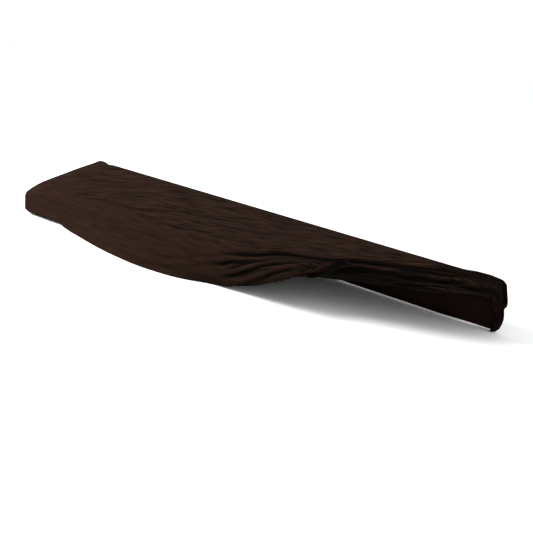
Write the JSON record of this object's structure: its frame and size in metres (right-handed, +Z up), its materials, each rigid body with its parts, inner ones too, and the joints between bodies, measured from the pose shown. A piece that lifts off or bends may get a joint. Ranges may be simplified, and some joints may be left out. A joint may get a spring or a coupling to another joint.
{
  "type": "keyboard dust cover",
  "caption": "Long, shallow stretch-cloth dust cover, draped as over a keyboard, with its hem pulled back and gathered at the right front corner.",
  "frame": {"origin": "under the top's inner face, at mid-length and mid-depth of the case it covers, where the case carries it", "axes": "+X along the cover to the right, +Y to the back, +Z up"},
  "size_m": [1.2863, 0.3419, 0.1291],
  "materials": {
    "knit_cloth": "matt dark brown-black stretch knit"
  },
  "bodies": {
    "root": {"cover": "knit_cloth"}
  },
  "joints": []
}
